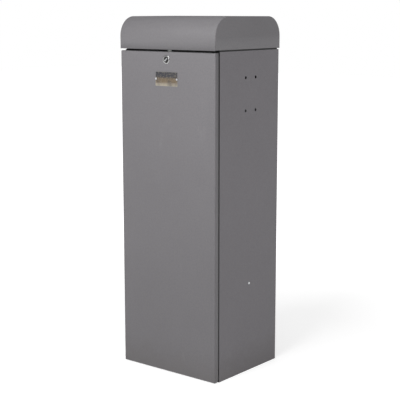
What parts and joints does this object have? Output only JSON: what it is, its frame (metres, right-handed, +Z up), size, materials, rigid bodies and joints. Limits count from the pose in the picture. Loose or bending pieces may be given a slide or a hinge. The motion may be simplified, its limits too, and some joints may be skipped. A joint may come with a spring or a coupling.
{
  "type": "parking barrier gate housing",
  "caption": "Upright steel cabinet of a parking barrier with rounded lift-off hood, tipping locked door and boom drive with rear hub.",
  "frame": {"origin": "middle of the cabinet's footprint, on the ground, at the middle of the four anchor slots", "axes": "-Y towards the door, +X to the right seen from the door, +Z up"},
  "size_m": [0.3426, 0.3295, 1.01],
  "materials": {
    "cabinet_paint": "fine textured grey powder coat",
    "hood_paint": "fine textured grey powder coat",
    "door_paint": "fine textured grey powder coat",
    "dark_steel": "black primer on plate steel",
    "zinc": "bright zinc plating",
    "dull_zinc": "worn grey zinc plating",
    "rubber": "matt",
    "lock_chrome": "polished",
    "lock_face": "dark polished",
    "plate_metal": "bright, lightly brushed",
    "cast_grey": "machined and oiled casting",
    "ground_steel": "ground",
    "bronze": "bronze",
    "cast_alloy": "die cast",
    "black_plastic": "moulded",
    "red_plastic": "moulded",
    "cream_plastic": "moulded",
    "spring_steel": "oiled spring wire",
    "sensor_brass": "nickel plated barrel",
    "board_green": "solder mask"
  },
  "bodies": {
    "cabinet": {"cabinet_shell": "cabinet_paint", "base_frame": "dark_steel", "neck_frame": "dark_steel", "cam_keeper": "zinc", "hood_grommets": "rubber", "earth_screw": "zinc", "shelf_rails": "cabinet_paint", "drive_shelf": "dark_steel", "bridge_rails": "cabinet_paint", "shaft_bridge": "dark_steel", "shelf_bolts": "zinc", "bearing_housings": "cast_grey", "bearing_outer_rings": "ground_steel", "bearing_bolts": "zinc", "shaft_seal": "rubber", "gearbox_housing": "cast_alloy", "gearbox_cover": "cast_alloy", "gearbox_screws": "zinc", "motor_shell": "cast_alloy", "motor_cap": "black_plastic", "balance_springs": "spring_steel", "spring_bracket": "dark_steel", "spring_eyebolts": "zinc", "eyebolt_nuts": "zinc", "buffer_plate": "dark_steel", "stop_buffers": "rubber", "sensor_bracket": "zinc", "limit_sensors": "sensor_brass", "control_tray": "zinc", "control_board": "board_green", "board_parts": "black_plastic", "terminal_strip": "cream_plastic"},
    "hood": {"hood": "hood_paint", "hood_brackets": "cabinet_paint", "hood_studs": "zinc"},
    "door": {"door": "door_paint", "door_stiffener": "door_paint", "door_hooks": "zinc", "door_seal": "rubber", "lock_barrel": "lock_chrome", "lock_nut": "zinc", "nameplate": "plate_metal", "nameplate_rivets": "zinc"},
    "lock": {"lock_plug": "lock_face", "lock_cam": "dull_zinc"},
    "boom_shaft": {"main_shaft": "ground_steel", "shaft_keys": "ground_steel", "shaft_collars": "dark_steel", "shaft_lever": "cast_grey", "boom_hub": "cast_grey", "shaft_vane": "zinc", "bearing_inner_rings": "ground_steel"},
    "crank": {"crank_arm": "cast_grey", "output_shaft": "ground_steel", "worm_wheel": "bronze"},
    "link": {"connecting_rod": "zinc", "rod_bushes": "bronze"},
    "motor": {"worm_shaft": "ground_steel", "handwheel": "red_plastic"}
  },
  "joints": [
    {"name": "door_tilt", "type": "hinge", "parent": "cabinet", "child": "door", "pos_m": [0, -0.142, 0.014], "axis": [1, 0, 0], "range_deg": [0, 30]},
    {"name": "hood_lift", "type": "slide", "parent": "cabinet", "child": "hood", "axis": [0, 0, 1], "range_m": [0, 0.08]},
    {"name": "lock_turn", "type": "hinge", "parent": "door", "child": "lock", "pos_m": [0, -0.147, 0.8936], "axis": [0, 1, 0], "range_deg": [0, 90]},
    {"name": "boom_turn", "type": "hinge", "parent": "cabinet", "child": "boom_shaft", "pos_m": [0, 0, 0.82], "axis": [0, -1, 0], "range_deg": [0, 90], "deforming": ["balance_springs"]},
    {"name": "crank_turn", "type": "hinge", "parent": "cabinet", "child": "crank", "pos_m": [0, 0, 0.62], "axis": [0, -1, 0], "range_deg": [0, 90]},
    {"name": "link_turn", "type": "hinge", "parent": "crank", "child": "link", "pos_m": [0.0495, 0, 0.5705], "axis": [0, -1, 0], "range_deg": [-90, 0]},
    {"name": "motor_turn", "type": "hinge", "parent": "cabinet", "child": "motor", "pos_m": [0.05, 0.035, 0.5], "axis": [0, 0, -1], "continuous": true}
  ],
  "couplings": [
    {"joint": "crank_turn", "follows": "boom_turn", "ratio": 1},
    {"joint": "link_turn", "follows": "boom_turn", "ratio": -1},
    {"joint": "motor_turn", "follows": "boom_turn", "ratio": 30}
  ]
}
